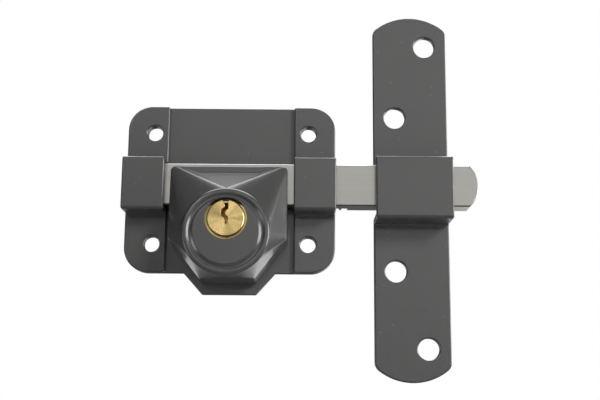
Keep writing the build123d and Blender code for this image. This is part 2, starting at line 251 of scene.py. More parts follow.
def plain_mesh(piece, material):
    """Turn a piece and its modifiers into one plain smooth mesh of one material."""
    depsgraph = bpy.context.evaluated_depsgraph_get()
    mesh = bpy.data.meshes.new_from_object(piece.evaluated_get(depsgraph))
    piece.modifiers.clear()
    piece.data = mesh
    mesh.materials.clear()
    mesh.materials.append(material)
    if not mesh.polygons:
        raise RuntimeError(f"{piece.name} came out empty")
    return piece


def mesh_of(form, name):
    """Smooth mesh of an edited form, which is freed."""
    mesh = bpy.data.meshes.new(name)
    form.to_mesh(mesh)
    form.free()
    mesh.polygons.foreach_set("use_smooth", [True] * len(mesh.polygons))
    return mesh


def hand_over(piece, body, slot, *nodes):
    """Attach the finished piece to the body that it rides on and hide the nodes that it stands for; the
    finish slot is not used.
    """
    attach(piece, body)
    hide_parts(*nodes)


def merged_copy(node_name, piece_name):
    """Copy of a CAD node with its loose triangles merged and its flat faces made whole."""
    form = bmesh.new()
    form.from_mesh(frame["nodes"][node_name].data)
    bmesh.ops.remove_doubles(form, verts=form.verts, dist=WELD_DISTANCE)
    bmesh.ops.dissolve_limit(form, angle_limit=FLAT_WITHIN, verts=form.verts, edges=form.edges)
    return put_in_scene(piece_name, mesh_of(form, piece_name))


def finished_copy(node_name, piece_name, width, body, slot, material):
    """CAD node's own shape with its edges rounded and a finish on it."""
    piece = merged_copy(node_name, piece_name)
    round_edges(piece, width)
    plain_mesh(piece, material)
    hand_over(piece, body, slot, node_name)


# Geometry trees


class SizedTree:
    """Geometry tree whose named inputs are its sizes."""

    def __init__(self, name):
        self.tree = bpy.data.node_groups.new(name, "GeometryNodeTree")
        self.tree.interface.new_socket("Geometry", in_out="INPUT", socket_type="NodeSocketGeometry")
        self.tree.interface.new_socket("Geometry", in_out="OUTPUT", socket_type="NodeSocketGeometry")
        self.way_in = self.tree.nodes.new("NodeGroupInput")
        self.way_out = self.tree.nodes.new("NodeGroupOutput")
        self.identifiers = {}

    def size(self, name, kind="NodeSocketFloat"):
        """Named input and its socket inside the tree."""
        made = self.tree.interface.new_socket(name, in_out="INPUT", socket_type=kind)
        self.identifiers[name] = made.identifier
        return self.way_in.outputs[name]

    def finish(self, geometry):
        """End of every tree: real geometry with its finish."""
        finish = self.size("Finish", "NodeSocketMaterial")
        real = node(self.tree, "GeometryNodeRealizeInstances", {"Geometry": geometry})
        even = node(self.tree, "GeometryNodeSetShadeSmooth", {"Geometry": real.outputs[0]})
        painted = node(self.tree, "GeometryNodeSetMaterial", {
            "Geometry": even.outputs[0], "Material": finish,
        })
        self.tree.links.new(painted.outputs[0], self.way_out.inputs[0])

    def put_on(self, piece, values):
        """Modifier on a piece, with every input set by its identifier."""
        modifier = piece.modifiers.new(self.tree.name, "NODES")
        modifier.node_group = self.tree
        for name, value in values.items():
            modifier[self.identifiers[name]] = value
        return modifier


made_trees = {}


def shared_tree(name, build):
    """Geometry tree that is made once and shared by the pieces that need it."""
    if name not in made_trees:
        made_trees[name] = build(name)
    return made_trees[name]


def chosen(tree, data_type, values):
    """Field that gives each point the value of its own index."""
    index = node(tree, "GeometryNodeInputIndex").outputs[0]
    switch = node(tree, "GeometryNodeIndexSwitch", data_type=data_type)
    while len(switch.index_switch_items) < len(values):
        switch.index_switch_items.new()
    feed(tree, switch.inputs[0], index)
    for place, value in enumerate(values, start=1):
        feed(tree, switch.inputs[place], value)
    return switch.outputs[0]


def grown(tree, flat, offset):
    """Closed solid between a flat face and its copy moved by an offset."""
    pushed = node(tree, "GeometryNodeExtrudeMesh", {"Mesh": flat, "Offset": offset, "Individual": False})
    back = node(tree, "GeometryNodeFlipFaces", {"Mesh": flat})
    both = node(tree, "GeometryNodeJoinGeometry")
    tree.links.new(back.outputs[0], both.inputs[0])
    tree.links.new(pushed.outputs[0], both.inputs[0])
    return node(tree, "GeometryNodeMergeByDistance", {
        "Geometry": both.outputs[0], "Distance": WELD_DISTANCE,
    }).outputs[0]


def hat_section(tree, sizes):
    """Closed section of a strip bent over a bar, drawn on the X and Y axes."""
    length, inside, top, back, sheet, bend = sizes
    foot = maths(tree, "ADD", back, sheet)
    outside = maths(tree, "ADD", inside, sheet)
    crown = maths(tree, "ADD", top, sheet)
    growth = 1 / 3
    wide = maths(tree, "MULTIPLY_ADD", sheet, growth, bend)
    right = [
        (inside, top, 0.0), (inside, back, wide), (length, back, 0.0),
        (length, foot, 0.0), (outside, foot, bend), (outside, crown, wide),
    ]
    left = [(maths(tree, "MULTIPLY", x, -1.0), y, radius) for x, y, radius in reversed(right)]
    points = right + left
    line = node(tree, "GeometryNodeMeshLine", {"Count": len(points)})
    curve = node(tree, "GeometryNodeMeshToCurve", {"Mesh": line.outputs[0]})
    closed = node(tree, "GeometryNodeSetSplineCyclic", {"Geometry": curve.outputs[0], "Cyclic": True})
    places = chosen(tree, "VECTOR", [combined(tree, x, y, 0.0) for x, y, _ in points])
    radii = chosen(tree, "FLOAT", [radius for _, _, radius in points])
    placed = node(tree, "GeometryNodeSetPosition", {"Geometry": closed.outputs[0], "Position": places})
    filleted = node(
        tree, "GeometryNodeFilletCurve",
        {"Curve": placed.outputs[0], "Count": 7, "Radius": radii}, mode="POLY",
    )
    return node(tree, "GeometryNodeFillCurve", {"Curve": filleted.outputs[0]}, mode="NGONS").outputs[0]


def pressed_strip_tree(name):
    """Strip of sheet bent over a bar, trimmed to the outline and drilled at the mesh's loose points."""
    sized = SizedTree(name)
    tree = sized.tree
    names = ("Half length", "Half inside", "Inside top", "Back", "Sheet", "Bend")
    section = hat_section(tree, [sized.size(name) for name in names])
    low_side, width, centre = (sized.size(name) for name in ("Low side", "Width", "Centre"))
    hole_radius = sized.size("Hole radius")
    hole_sides = sized.size("Hole sides", "NodeSocketInt")
    reach = sized.size("Reach")
    strip = grown(tree, section, combined(tree, 0.0, 0.0, width))
    upright = node(tree, "GeometryNodeTransform", {
        "Geometry": strip, "Rotation": (0.0, -math.pi / 2, math.pi),
        "Translation": combined(tree, low_side, 0.0, centre),
    })
    loose = node(tree, "GeometryNodeInputMeshVertexNeighbors").outputs["Face Count"]
    on_face = maths(tree, "GREATER_THAN", loose, 0.0)
    parted = node(tree, "GeometryNodeSeparateGeometry", {
        "Geometry": sized.way_in.outputs[0], "Selection": on_face,
    }, domain="POINT")
    depth = maths(tree, "MULTIPLY", reach, -1.0)
    trimmer = grown(tree, parted.outputs["Selection"], combined(tree, 0.0, depth, 0.0))
    trimmed = node(tree, "GeometryNodeMeshBoolean", operation="INTERSECT", solver="EXACT")
    tree.links.new(upright.outputs[0], trimmed.inputs["Mesh 2"])
    tree.links.new(trimmer, trimmed.inputs["Mesh 2"])
    drill = node(tree, "GeometryNodeMeshCylinder", {
        "Vertices": hole_sides, "Radius": hole_radius, "Depth": maths(tree, "MULTIPLY", reach, 2.0),
    })
    level = node(tree, "GeometryNodeTransform", {
        "Geometry": drill.outputs[0], "Rotation": (math.pi / 2, 0.0, 0.0),
    })
    drills = node(tree, "GeometryNodeInstanceOnPoints", {
        "Points": parted.outputs["Inverted"], "Instance": level.outputs[0],
    })
    real = node(tree, "GeometryNodeRealizeInstances", {"Geometry": drills.outputs[0]})
    drilled = node(tree, "GeometryNodeMeshBoolean", {
        "Mesh 1": trimmed.outputs[0], "Mesh 2": real.outputs[0],
    }, operation="DIFFERENCE", solver="EXACT")
    sized.finish(drilled.outputs[0])
    return sized


def row_tree(name, shape_of):
    """Row of like pieces, one pitch apart towards the front, whose single shape a function draws."""
    sized = SizedTree(name)
    tree = sized.tree
    start = sized.size("Start", "NodeSocketVector")
    count = sized.size("Count", "NodeSocketInt")
    pitch = sized.size("Pitch")
    shape = shape_of(sized)
    step = combined(tree, 0.0, maths(tree, "MULTIPLY", pitch, -1.0), 0.0)
    line = node(tree, "GeometryNodeMeshLine", {"Count": count, "Start Location": start, "Offset": step})
    row = node(tree, "GeometryNodeInstanceOnPoints", {"Points": line.outputs[0], "Instance": shape})
    sized.finish(row.outputs[0])
    return sized


def pin_shape(sized):
    """Turned pin that hangs below its point: a blunt cone at the top and a shaft under it."""
    tree = sized.tree
    radius = sized.size("Radius")
    length = sized.size("Length")
    tip_radius = sized.size("Tip radius")
    tip_height = sized.size("Tip height")
    sides = 32
    shaft_length = maths(tree, "SUBTRACT", length, tip_height)
    shaft = node(tree, "GeometryNodeMeshCylinder", {
        "Vertices": sides, "Radius": radius, "Depth": shaft_length,
    })
    shaft_place = maths(tree, "SUBTRACT", maths(tree, "MULTIPLY", shaft_length, -0.5), tip_height)
    shaft_down = node(tree, "GeometryNodeTransform", {
        "Geometry": shaft.outputs[0], "Translation": combined(tree, 0.0, 0.0, shaft_place),
    })
    tip = node(tree, "GeometryNodeMeshCone", {
        "Vertices": sides, "Radius Top": tip_radius, "Radius Bottom": radius, "Depth": tip_height,
    })
    tip_place = maths(tree, "MULTIPLY", tip_height, -1.0)
    tip_down = node(tree, "GeometryNodeTransform", {
        "Geometry": tip.outputs[0], "Translation": combined(tree, 0.0, 0.0, tip_place),
    })
    whole = node(tree, "GeometryNodeMeshBoolean", operation="UNION", solver="EXACT")
    tree.links.new(shaft_down.outputs[0], whole.inputs["Mesh 2"])
    tree.links.new(tip_down.outputs[0], whole.inputs["Mesh 2"])
    return whole.outputs[0]


def spring_shape(sized):
    """Coil of round wire that stands above its point."""
    tree = sized.tree
    radius = sized.size("Coil radius")
    wire = sized.size("Wire radius")
    height = sized.size("Height")
    turns = sized.size("Turns")
    coil = node(tree, "GeometryNodeCurveSpiral", {
        "Resolution": 18, "Rotations": turns,
        "Start Radius": radius, "End Radius": radius, "Height": height,
    })
    section = node(tree, "GeometryNodeCurvePrimitiveCircle", {"Resolution": 8, "Radius": wire})
    swept = node(tree, "GeometryNodeCurveToMesh", {
        "Curve": coil.outputs[0], "Profile Curve": section.outputs[0], "Fill Caps": True,
    })
    return swept.outputs[0]


def screws_tree(name):
    """Flush slotted screws at the points of the mesh, driven in towards the front."""
    sized = SizedTree(name)
    tree = sized.tree
    head = sized.size("Head radius")
    head_height = sized.size("Head height")
    shank = sized.size("Shank radius")
    length = sized.size("Length")
    slot_width = sized.size("Slot width")
    slot_depth = sized.size("Slot depth")
    sides = 40
    slot_reach = 3.0
    whole = node(tree, "GeometryNodeMeshBoolean", operation="UNION", solver="EXACT")
    for radius, height in ((head, head_height), (shank, length)):
        rod = node(tree, "GeometryNodeMeshCylinder", {"Vertices": sides, "Radius": radius, "Depth": height})
        middle = maths(tree, "MULTIPLY", height, 0.5)
        raised = node(tree, "GeometryNodeTransform", {
            "Geometry": rod.outputs[0], "Translation": combined(tree, 0.0, 0.0, middle),
        })
        tree.links.new(raised.outputs[0], whole.inputs["Mesh 2"])
    slot_size = combined(
        tree, maths(tree, "MULTIPLY", head, slot_reach), slot_width,
        maths(tree, "MULTIPLY", slot_depth, 2.0),
    )
    slot = node(tree, "GeometryNodeMeshCube", {"Size": slot_size})
    slotted = node(tree, "GeometryNodeMeshBoolean", {
        "Mesh 1": whole.outputs[0], "Mesh 2": slot.outputs[0],
    }, operation="DIFFERENCE", solver="EXACT")
    forward = node(tree, "GeometryNodeTransform", {
        "Geometry": slotted.outputs[0], "Rotation": (math.pi / 2, 0.0, 0.0),
    })
    placed = node(tree, "GeometryNodeInstanceOnPoints", {
        "Points": sized.way_in.outputs[0], "Instance": forward.outputs[0],
    })
    sized.finish(placed.outputs[0])
    return sized


# Shader groups and finishes


def shader_group(name, inputs, outputs):
    """Empty shader group with its named sockets, and its two ends."""
    group = bpy.data.node_groups.new(name, "ShaderNodeTree")
    for socket_name, kind, default in inputs:
        made = group.interface.new_socket(socket_name, in_out="INPUT", socket_type=kind)
        made.default_value = default
    for socket_name, kind in outputs:
        group.interface.new_socket(socket_name, in_out="OUTPUT", socket_type=kind)
    return group, group.nodes.new("NodeGroupInput"), group.nodes.new("NodeGroupOutput")


def orange_peel_group():
    """Fine waviness of a baked coat, as a height and as a slow change of gloss."""
    group, way_in, way_out = shader_group("Orange peel", [
        ("Size", "NodeSocketFloat", mm(1.2)), ("Grain", "NodeSocketFloat", 0.35),
    ], [("Height", "NodeSocketFloat"), ("Drift", "NodeSocketFloat")])
    fine_scale, drift_scale = 4.0, 0.06
    place = node(group, "ShaderNodeTexCoord").outputs["Object"]
    scale = maths(group, "DIVIDE", 1.0, way_in.outputs["Size"])
    waves = node(group, "ShaderNodeTexNoise", {"Vector": place, "Scale": scale, "Detail": 1.0})
    fine = node(group, "ShaderNodeTexNoise", {
        "Vector": place, "Scale": maths(group, "MULTIPLY", scale, fine_scale), "Detail": 2.0,
    })
    height = maths(group, "MULTIPLY_ADD", fine.outputs[0], way_in.outputs["Grain"], waves.outputs[0])
    drift = node(group, "ShaderNodeTexNoise", {
        "Vector": place, "Scale": maths(group, "MULTIPLY", scale, drift_scale), "Detail": 3.0,
    })
    group.links.new(height, way_out.inputs["Height"])
    group.links.new(drift.outputs[0], way_out.inputs["Drift"])
    return group


def specks_group():
    """Scattered small specks of dust and coat, as a mask."""
    group, way_in, way_out = shader_group("Specks", [
        ("Spacing", "NodeSocketFloat", mm(1.0)), ("Share", "NodeSocketFloat", 0.1),
    ], [("Mask", "NodeSocketFloat")])
    place = node(group, "ShaderNodeTexCoord").outputs["Object"]
    cells = node(group, "ShaderNodeTexVoronoi", {
        "Vector": place, "Scale": maths(group, "DIVIDE", 1.0, way_in.outputs["Spacing"]), "Randomness": 1.0,
    })
    shade = node(group, "ShaderNodeSeparateColor", {"Color": cells.outputs["Color"]}).outputs[0]
    few = maths(group, "LESS_THAN", shade, way_in.outputs["Share"])
    full_radius, speck_radius = 0.16, 0.3
    near = band(group, cells.outputs["Distance"], full_radius, speck_radius, 1.0, 0.0)
    group.links.new(maths(group, "MULTIPLY", few, near), way_out.inputs["Mask"])
    return group


def drawn_lines_group():
    """Fine lines that run along one axis, as left by drawing or brushing."""
    group, way_in, way_out = shader_group("Drawn lines", [
        ("Spacing", "NodeSocketVector", (mm(30), mm(0.2), mm(0.2))),
    ], [("Height", "NodeSocketFloat"), ("Streaks", "NodeSocketFloat")])
    place = node(group, "ShaderNodeTexCoord").outputs["Object"]
    streak_scale = 0.13
    scaled = vector_maths(group, "DIVIDE", {0: place, 1: way_in.outputs["Spacing"]})
    lines = node(group, "ShaderNodeTexNoise", {"Vector": scaled, "Scale": 1.0, "Detail": 4.0})
    wide = vector_maths(group, "SCALE", {0: scaled, "Scale": streak_scale})
    streaks = node(group, "ShaderNodeTexNoise", {"Vector": wide, "Scale": 1.0, "Detail": 3.0})
    group.links.new(lines.outputs[0], way_out.inputs["Height"])
    group.links.new(streaks.outputs[0], way_out.inputs["Streaks"])
    return group


def turned_rings_group():
    """Fine rings round an axis that points to the front, as left by a lathe tool, and broad sectors round
    that axis for a painted sheen.
    """
    group, way_in, way_out = shader_group("Turned rings", [
        ("Centre", "NodeSocketVector", (0.0, 0.0, 0.0)), ("Pitch", "NodeSocketFloat", mm(0.12)),
    ], [("Height", "NodeSocketFloat"), ("Painted sheen", "NodeSocketFloat")])
    place = node(group, "ShaderNodeTexCoord").outputs["Object"]
    across_axis = (1.0, 0.0, 1.0)
    ripple_share = 0.25
    local = vector_maths(group, "SUBTRACT", {0: place, 1: way_in.outputs["Centre"]})
    flat = vector_maths(group, "MULTIPLY", {0: local, 1: across_axis})
    distance = vector_maths(group, "LENGTH", {0: flat}, "Value")
    turns = maths(group, "DIVIDE", distance, way_in.outputs["Pitch"])
    unevenness = node(group, "ShaderNodeTexNoise", {
        "W": turns, "Scale": 0.7, "Detail": 3.0,
    }, noise_dimensions="1D")
    phase = maths(group, "MULTIPLY", turns, 2 * math.pi)
    ripple = maths(group, "MULTIPLY_ADD", maths(group, "SINE", phase), ripple_share, unevenness.outputs[0])
    group.links.new(ripple, way_out.inputs["Height"])
    # Noise on the direction round the axis marks broad sectors lighter and darker: a painted sheen in place
    # of the reflections on a turned face.
    outward = vector_maths(group, "NORMALIZE", {0: flat})
    sheen_noise = node(group, "ShaderNodeTexNoise", {"Vector": outward, "Scale": 1.1, "Detail": 2.0})
    group.links.new(sheen_noise.outputs[0], way_out.inputs["Painted sheen"])
    return group


def shared_group(name, build):
    return bpy.data.node_groups.get(name) or build()


def placed_group(tree, name, build, values):
    made = tree.nodes.new("ShaderNodeGroup")
    made.node_tree = shared_group(name, build)
    fill(tree, made, values)
    return made


def new_material(name):
    """Material with only its Principled shader and output, and that shader."""
    material = bpy.data.materials.new(name)
    material.use_nodes = True
    tree = material.node_tree
    return material, tree, tree.nodes["Principled BSDF"]


def mixed_colour(tree, factor, first, second):
    made = node(tree, "ShaderNodeMix", {"Factor": factor}, data_type="RGBA")
    feed(tree, made.inputs["A"], first)
    feed(tree, made.inputs["B"], second)
    return made.outputs["Result"]


def rgba(colour, share=1.0):
    return (colour[0] * share, colour[1] * share, colour[2] * share, 1.0)


def bumped(tree, height, strength, distance):
    return node(tree, "ShaderNodeBump", {
        "Height": height, "Strength": strength, "Distance": distance,
    }).outputs[0]


def band(tree, value, start, end, low, high):
    """Value moved from one range to another and held at both ends."""
    return node(tree, "ShaderNodeMapRange", {
        "Value": value, "From Min": start, "From Max": end, "To Min": low, "To Max": high,
    }).outputs[0]


GLOSS_SWING = 0.12


def varied(tree, drift, middle, swing):
    """Value that swings about its middle as the drift runs from nought to one."""
    return maths(tree, "MULTIPLY_ADD", drift, swing, middle - swing / 2)


def powder_coat(name, colour, roughness, peel_size):
    """Glossy dark grey powder coat with orange peel and a few specks."""
    material, tree, shader = new_material(name)
    peel = placed_group(tree, "Orange peel", orange_peel_group, {"Size": peel_size})
    specks = placed_group(tree, "Specks", specks_group, {"Spacing": mm(1.6), "Share": 0.035})
    darker, lighter, speck_tint = 0.92, 1.08, 2.2
    speck_cover, speck_height = 0.55, 0.5
    base = mixed_colour(tree, peel.outputs["Drift"], rgba(colour, darker), rgba(colour, lighter))
    cover = maths(tree, "MULTIPLY", specks.outputs["Mask"], speck_cover)
    height = maths(tree, "MULTIPLY_ADD", specks.outputs["Mask"], speck_height, peel.outputs["Height"])
    fill(tree, shader, {
        "Base Color": mixed_colour(tree, cover, base, rgba(colour, speck_tint)),
        "Roughness": varied(tree, peel.outputs["Drift"], roughness, GLOSS_SWING),
        "Coat Weight": 0.45, "Coat Roughness": 0.07, "Normal": bumped(tree, height, 0.5, mm(0.05)),
    })
    return material


def satin_plating(name, colour, spacing):
    """Zinc plating with fine drawn lines along the bar."""
    material, tree, shader = new_material(name)
    lines = placed_group(tree, "Drawn lines", drawn_lines_group, {"Spacing": spacing})
    peel = placed_group(tree, "Orange peel", orange_peel_group, {"Size": mm(0.7)})
    darker, lighter = 0.86, 1.14
    roughness, swing, peel_share = 0.32, 0.2, 0.6
    height = maths(tree, "MULTIPLY_ADD", peel.outputs["Height"], peel_share, lines.outputs["Height"])
    streaks = lines.outputs["Streaks"]
    fill(tree, shader, {
        "Base Color": mixed_colour(tree, streaks, rgba(colour, darker), rgba(colour, lighter)),
        "Roughness": varied(tree, streaks, roughness, swing),
        "Metallic": 1.0, "Normal": bumped(tree, height, 0.35, mm(0.02)),
    })
    return material


def turned_brass(name, colour, centre, pitch, roughness, anisotropy):
    """Brass with the fine rings of a lathe tool, and a painted sheen in broad sectors of its colour."""
    material, tree, shader = new_material(name)
    rings = placed_group(tree, "Turned rings", turned_rings_group, {"Centre": centre, "Pitch": pitch})
    peel = placed_group(tree, "Orange peel", orange_peel_group, {"Size": mm(0.9)})
    darkest, lightest, drift_share = 0.62, 1.14, 0.3
    # Base colour runs from a darker to a lighter copy of the brass by sectors round the axis: painted sheen
    # that stands in for reflected light.
    sheen_start, sheen_end = 0.38, 0.6
    painted_sheen = band(tree, rings.outputs["Painted sheen"], sheen_start, sheen_end, 0.0, 1.0)
    painted_sheen_colour = mixed_colour(tree, painted_sheen, rgba(colour, darkest), rgba(colour, lightest))
    plain = maths(tree, "MULTIPLY", peel.outputs["Drift"], drift_share)
    height = rings.outputs["Height"]
    fill(tree, shader, {
        "Base Color": mixed_colour(tree, plain, painted_sheen_colour, rgba(colour)),
        "Roughness": varied(tree, height, roughness, GLOSS_SWING),
        "Metallic": 1.0, "Anisotropic": anisotropy,
        "Tangent": node(tree, "ShaderNodeTangent", direction_type="RADIAL", axis="Y").outputs[0],
        "Normal": bumped(tree, height, 0.5, mm(0.02)),
    })
    return material


def finish_named(name, build, *values):
    """One material, made the first time that it is asked for."""
    return bpy.data.materials.get(name) or build(name, *values)


def sheet_paint():
    colours = bpy.context.scene.lock_colours
    return finish_named("sheet_paint", powder_coat, colours.paint, colours.paint_roughness, mm(1.0))


def cast_paint():
    colours = bpy.context.scene.lock_colours
    return finish_named("cast_paint", powder_coat, colours.paint, colours.paint_roughness, mm(1.4))


def bar_plating():
    colours = bpy.context.scene.lock_colours
    spacing = (mm(30), mm(0.25), mm(0.25))
    return finish_named("bar_plating", satin_plating, colours.plating, spacing)


def small_plating():
    colours = bpy.context.scene.lock_colours
    spacing = (mm(0.4), mm(3), mm(0.4))
    return finish_named("small_plating", satin_plating, colours.fixings, spacing)


def wire_steel():
    colours = bpy.context.scene.lock_colours
    spacing = (mm(0.3), mm(0.3), mm(2))
    return finish_named("wire_steel", satin_plating, colours.wire, spacing)


def box_centre(node_name):
    low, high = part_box(node_name)
    return (low + high) / 2


def plug_brass():
    colour = bpy.context.scene.lock_colours.brass
    centre = tuple(box_centre("cylinder_plug"))
    pitch, roughness, anisotropy = mm(0.14), 0.26, 0.8
    return finish_named("turned_plug_face", turned_brass, colour, centre, pitch, roughness, anisotropy)


def body_brass():
    colour = bpy.context.scene.lock_colours.brass
    centre = tuple(box_centre("cylinder_body"))
    pitch, roughness, anisotropy = mm(0.3), 0.36, 0.3
    return finish_named("turned_body_brass", turned_brass, colour, centre, pitch, roughness, anisotropy)


# Outlines


def arc(centre, radius, start, end, steps):
    """Points of an arc in the upright plane, with X and Z coordinates."""
    points = []
    for step in range(steps + 1):
        angle = math.radians(start + (end - start) * step / steps)
        points.append((centre[0] + radius * math.cos(angle), centre[1] + radius * math.sin(angle)))
    return points


def rounded_rectangle(low, high, radius, steps=12):
    """Outline of a rectangle with round corners, counter-clockwise from its right side."""
    corners = [
        (high[0] - radius, high[1] - radius, 0.0), (low[0] + radius, high[1] - radius, 90.0),
        (low[0] + radius, low[1] + radius, 180.0), (high[0] - radius, low[1] + radius, 270.0),
    ]
    points = []
    for x, z, start in corners:
        points += arc((x, z), radius, start, start + 90.0, steps)
    return points


def arched_strip(low, high, rise, corner, steps=28):
    """Outline of a long strip whose two ends are arched and whose corners are rounded."""
    half = (high[0] - low[0]) / 2
    centre_x = (high[0] + low[0]) / 2
    radius = (half * half + rise * rise) / (2 * rise)
    arch_centre = high[1] - radius
    side = high[0] - corner
    across = side - centre_x
    drop = math.sqrt((radius - corner) ** 2 - across ** 2)
    corner_centre = (side, arch_centre + drop)
    turn = math.degrees(math.atan2(drop, across))
    quarter = arc(corner_centre, corner, 0.0, turn, 8)
    quarter += arc((centre_x, arch_centre), radius, turn, 90.0, steps // 2)[1:]
    left = [(2 * centre_x - x, z) for x, z in reversed(quarter[:-1])]
    upper = quarter + left
    middle = (low[1] + high[1]) / 2
    lower = [(x, 2 * middle - z) for x, z in reversed(upper)]
    return upper + lower


def outline_with_points(name, outline, places, depth):
    """Mesh of one face that looks to the front, and loose points where holes go."""
    points = [(x, depth, z) for x, z in outline] + [(x, depth, z) for x, z in places]
    return blank_mesh(name, points, [range(len(outline))])


def mount_named(name):
    return next(mount for mount in frame["record"]["mounts"] if mount["name"] == name)


def mount_places(name):
    """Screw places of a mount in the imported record, as X and Z coordinates."""
    mount = mount_named(name)
    x, _, z = mount["pos_m"]
    half_x = mm(mount["dims"].get("spacing_x_mm", 0.0)) / 2
    half_z = mm(mount["dims"].get("spacing_y_mm", 0.0)) / 2
    sides = (-1, 1) if half_x else (0,)
    return [(x + side * half_x, z + up * half_z) for side in sides for up in (-1, 1)]


def mount_radius(name):
    return mm(mount_named(name)["dims"]["hole_r_mm"])


def pressing(node_name, piece_name, outline, places, sheet, mount, own_values):
    """Piece pressed from sheet, with the sizes that the straps and the keep share and its own ones."""
    sizes = bpy.context.scene.lock_sizes
    low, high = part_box(node_name)
    piece = put_in_scene(piece_name, outline_with_points(node_name, outline, places, OVERLAP))
    shared_tree("Pressed strip", pressed_strip_tree).put_on(piece, own_values | {
        "Half length": (high.z - low.z) / 2 + OVERLAP, "Centre": (low.z + high.z) / 2,
        "Inside top": -low.y - sheet, "Back": -high.y, "Sheet": sheet, "Bend": sizes.bend,
        "Hole radius": mount_radius(mount), "Hole sides": sizes.hole_sides,
        "Reach": STRIP_REACH, "Finish": sheet_paint(),
    })
    round_edges(piece, sizes.sheet_edge, segments=4, slide=False)
    plain_mesh(piece, sheet_paint())
    hand_over(piece, "case", "painted_sheet", node_name)


class LOCK_OT_pressed_straps(bpy.types.Operator):
    """Make the two guide straps that are pressed over the bolt bar"""

    bl_idname = "lock.pressed_straps"
    bl_label = "Guide straps"

    def execute(self, context):
        sizes = context.scene.lock_sizes
        plate_low, plate_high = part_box("base_plate")
        bolt_low, bolt_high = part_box("bolt_bar")
        for side in ("left", "right"):
            node_name = f"{side}_guide_strap"
            low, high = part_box(node_name)
            outline = rounded_rectangle((plate_low.x, low.z), (plate_high.x, high.z), sizes.case_corner)
            places = [place for place in mount_places("case_screws") if low.x < place[0] < high.x]
            piece_name = f"{side}_strap_pressing"
            pressing(node_name, piece_name, outline, places, sizes.strap_sheet, "case_screws", {
                "Half inside": (bolt_high.z - bolt_low.z) / 2 + sizes.side_play,
                "Low side": low.x - (OVERLAP if side == "left" else 0.0),
                "Width": high.x - low.x + OVERLAP,
            })
        return {"FINISHED"}


class LOCK_OT_pressed_keep(bpy.types.Operator):
    """Make the keep that is pressed over the thrown bolt"""

    bl_idname = "lock.pressed_keep"
    bl_label = "Keep"

    def execute(self, context):
        sizes = context.scene.lock_sizes
        low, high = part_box("keep")
        outline = arched_strip((low.x, low.z), (high.x, high.z), sizes.keep_rise, sizes.keep_corner)
        places = mount_places("keep_outer_screws") + mount_places("keep_inner_screws")
        pressing("keep", "keep_pressing", outline, places, sizes.keep_sheet, "keep_outer_screws", {
            "Half inside": sizes.keep_inside, "Low side": low.x - OVERLAP,
            "Width": high.x - low.x + 2 * OVERLAP,
        })
        return {"FINISHED"}


class LOCK_OT_base_plate(bpy.types.Operator):
    """Make the case plate that lies on the gate"""

    bl_idname = "lock.base_plate"
    bl_label = "Base plate"

    def execute(self, context):
        edge = context.scene.lock_sizes.plate_edge
        finished_copy("base_plate", "case_plate", edge, "case", "painted_sheet", sheet_paint())
        return {"FINISHED"}


class LOCK_OT_bolt(bpy.types.Operator):
    """Make the flat bar bolt and the pinion that moves it"""

    bl_idname = "lock.bolt"
    bl_label = "Bolt and pinion"

    def execute(self, context):
        sizes = context.scene.lock_sizes
        finished_copy("bolt_bar", "flat_bar_bolt", sizes.bar_edge, "bolt", "plated_bar", bar_plating())
        edge = sizes.fine_edge
        finished_copy("drive_pinion", "rack_pinion", edge, "plug", "plated_steel", small_plating())
        return {"FINISHED"}


# Housing


HousingCorner = namedtuple("HousingCorner", "point radius level fan rise ledge")
Column = namedtuple("Column", "foot crest ledge level lean")


def facing_angle(start, end):
    """Outward direction of a side, on an outline that runs counter-clockwise."""
    along = end - start
    return math.atan2(-along.x, along.y)


def direction(angle):
    return Vector((math.cos(angle), math.sin(angle)))


def housing_corners(shape, half, top, low):
    """Corners of the housing's outline, counter-clockwise from the top right.

    Each has its rounding and the wall's height there, then the spread over the boss, the rise
    of the crest and the depth of the ledge of the side after it."""
    plain = (0.0, 0.0, 0.0)
    roof = (0.0, 0.0, shape.ledge)
    bottom = (shape.base_fan, shape.base_rise, 0.0)
    return [
        HousingCorner(Vector((half, top)), shape.top_round, shape.top_wall, *roof),
        HousingCorner(Vector((-half, top)), shape.top_round, shape.top_wall, *plain),
        HousingCorner(Vector((-half, shape.side_low)), shape.side_round, shape.side_wall, *plain),
        HousingCorner(Vector((-shape.base_half, low)), shape.base_round, shape.base_wall, *bottom),
        HousingCorner(Vector((shape.base_half, low)), shape.base_round, shape.base_wall, *plain),
        HousingCorner(Vector((half, shape.side_low)), shape.side_round, shape.side_wall, *plain),
    ]


def curve_point(start, middle, end, share):
    """Point or height at a share of a smooth curve that is drawn towards its middle."""
    return (1 - share) ** 2 * start + 2 * share * (1 - share) * middle + share ** 2 * end


def corner_columns(shape, before, corner, after):
    """Columns round one corner: the wall's height runs smoothly from one side to the next."""
    start = facing_angle(before.point, corner.point)
    sweep = (facing_angle(corner.point, after.point) - start) % (2 * math.pi)
    centre = corner.point - direction(start + sweep / 2) * (corner.radius / math.cos(sweep / 2))
    setback = corner.radius * math.tan(sweep / 2)
    ends = []
    for neighbour in (before, after):
        share = setback / (neighbour.point - corner.point).length
        ends.append(corner.level + (neighbour.level - corner.level) * share)
    lean_start = start + before.fan
    lean_sweep = sweep - before.fan - corner.fan
    steps = math.ceil(sweep / shape.turn_step)
    columns = []
    for step in range(steps + 1):
        share = step / steps
        outward = direction(start + sweep * share)
        level = curve_point(ends[0], corner.level, ends[1], share)
        foot = centre + outward * corner.radius
        crest = foot - outward * shape.draft
        columns.append(Column(foot, crest, crest, level, lean_start + lean_sweep * share))
    return columns


def side_shares(shape, corner):
    """Where columns stand along the side after a corner, as shares of its length."""
    if corner.ledge:
        return [(1 - shape.ledge_flat) / 2, (1 + shape.ledge_flat) / 2]
    steps = math.ceil(2 * corner.fan / shape.turn_step)
    return [step / steps for step in range(1, steps)]


